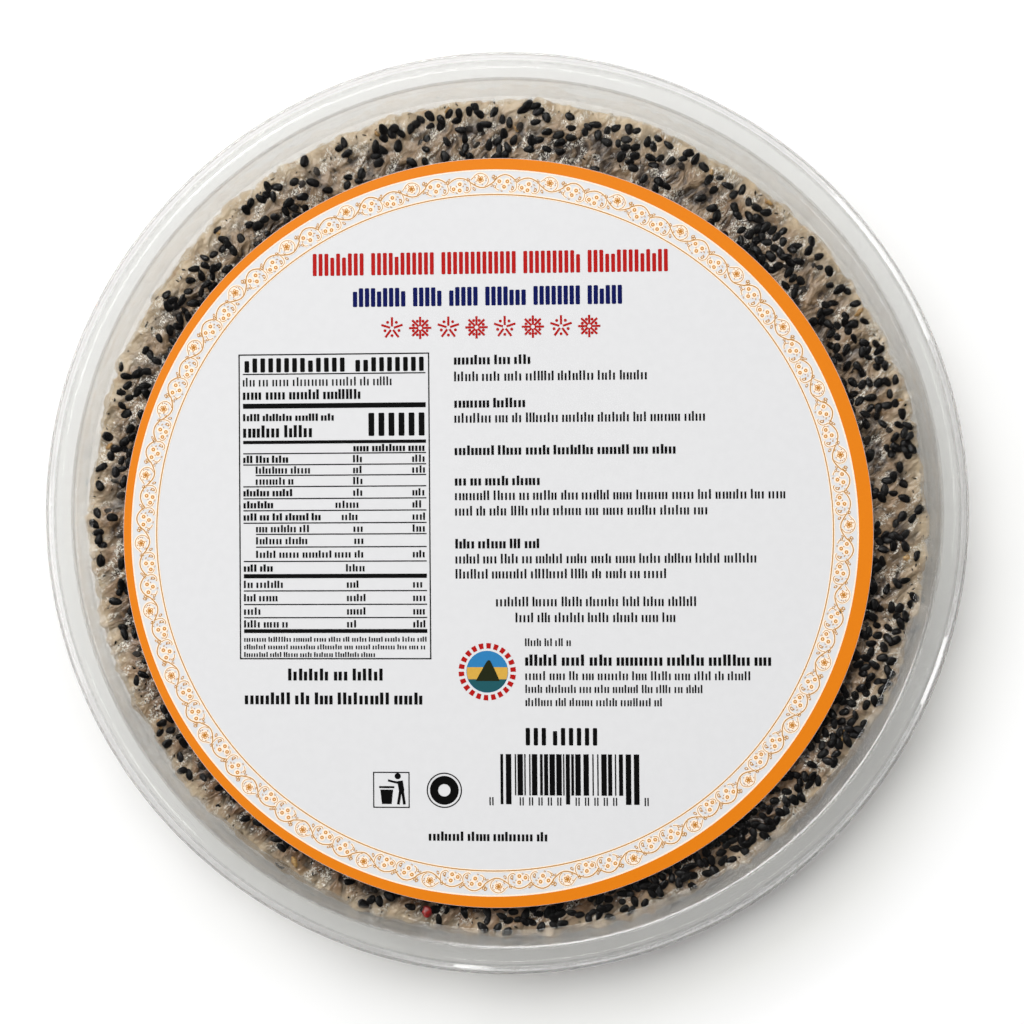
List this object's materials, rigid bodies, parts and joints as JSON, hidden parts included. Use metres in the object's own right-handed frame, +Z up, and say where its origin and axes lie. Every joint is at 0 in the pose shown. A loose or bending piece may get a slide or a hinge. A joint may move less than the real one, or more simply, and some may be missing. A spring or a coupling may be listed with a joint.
{
  "type": "pack of rice crackers",
  "caption": "Shut round clear plastic pack: a shallow tray, a press-fit lid with a sunk panel and an off-centre paper label, and a stack of wavy rice crackers set with black sesame seeds.",
  "frame": {"origin": "on the surface that the pack stands on, under the middle of its round rim", "axes": "+Z up out of the label, +Y towards the top of the label, +X towards its right side"},
  "size_m": [0.238, 0.238, 0.0265],
  "materials": {
    "tray_plastic": "clear thermoformed PET sheet, gloss, seen through",
    "lid_plastic": "clear thermoformed PET sheet, gloss, seen through",
    "label_paper": "coated white label paper with a faint gloss",
    "label_print": "printing ink on the coated paper: an orange ring, fine ornament, and black, red and blue marks",
    "rice_cracker": "dry, part clear rice sheet, beige and grey, blistered and frosted",
    "black_sesame": "black sesame hull with a soft, slightly oily sheen"
  },
  "bodies": {
    "root": {"tray": "tray_plastic", "lid": "lid_plastic", "label": "label_paper", "cracker_1": "rice_cracker", "cracker_2": "rice_cracker", "cracker_3": "rice_cracker", "cracker_4": "rice_cracker", "cracker_5": "rice_cracker"}
  },
  "joints": []
}
